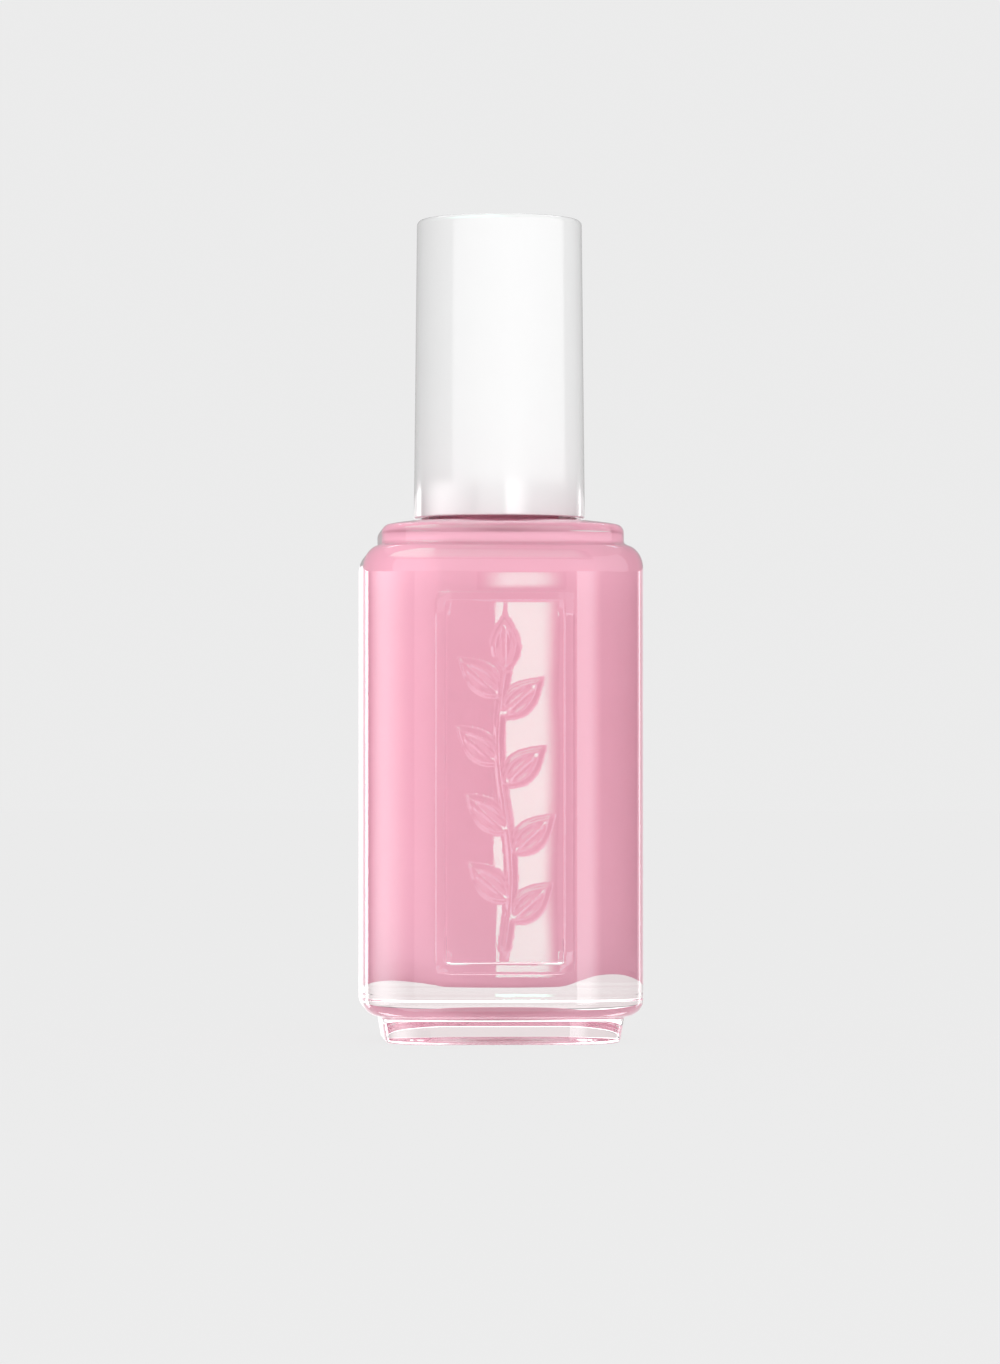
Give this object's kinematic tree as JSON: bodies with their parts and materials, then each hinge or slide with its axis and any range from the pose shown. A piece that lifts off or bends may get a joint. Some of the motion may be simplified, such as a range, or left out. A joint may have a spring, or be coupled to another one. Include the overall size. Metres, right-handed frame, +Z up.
{
  "type": "nail polish bottle",
  "caption": "Square clear glass nail lacquer bottle with rounded edges, stepped shoulder and foot, raised panel on one face, and a tall white screw cap that carries a brush.",
  "frame": {"origin": "centre of the underside of the foot, on the bottle's upright axis, at the height of the surface the bottle stands on", "axes": "+Z up along the bottle's axis towards the cap; -Y out of the face with the raised panel; +X to that face's right as it is looked at"},
  "size_m": [0.0254, 0.0258, 0.0754],
  "materials": {
    "clear_glass": "clear polished glass",
    "pink_lacquer": "opaque creamy wet lacquer",
    "white_cap_plastic": "glossy moulded plastic",
    "natural_plastic": "satin natural polyethylene",
    "seal_foam": "soft matt sealing ring",
    "nylon_bristle": "fine nylon filaments wet with lacquer",
    "steel": "polished stainless steel",
    "label_paper": "blank satin film label"
  },
  "bodies": {
    "bottle": {"glass_bottle": "clear_glass", "nail_lacquer": "pink_lacquer", "base_label": "label_paper"},
    "ball_1": {"mixing_ball_1": "steel"},
    "ball_2": {"mixing_ball_2": "steel"},
    "seal": {"seal_washer": "seal_foam"},
    "applicator": {"brush_stem": "natural_plastic", "brush_bristles": "nylon_bristle", "tuft_anchor": "steel"},
    "cap": {"inner_cap": "natural_plastic", "outer_cap": "white_cap_plastic"}
  },
  "joints": [
    {"name": "cap_lift", "type": "slide", "parent": "bottle", "child": "seal", "axis": [0, 0, 1], "range_m": [0, 0.055]},
    {"name": "thread_rise", "type": "slide", "parent": "seal", "child": "applicator", "axis": [0, 0, 1], "range_m": [0, 0.0032]},
    {"name": "cap_turn", "type": "hinge", "parent": "applicator", "child": "cap", "pos_m": [0, 0, 0.0555], "axis": [0, 0, 1], "range_deg": [0, 540]},
    {"name": "ball_1_roll", "type": "slide", "parent": "bottle", "child": "ball_1", "axis": [1, 0, 0], "range_m": [0, 0.005]},
    {"name": "ball_2_roll", "type": "slide", "parent": "bottle", "child": "ball_2", "axis": [1, 0, 0], "range_m": [-0.0045, 0]}
  ],
  "couplings": [
    {"joint": "thread_rise", "follows": "cap_turn", "m_per_rad": 0.00033693}
  ]
}
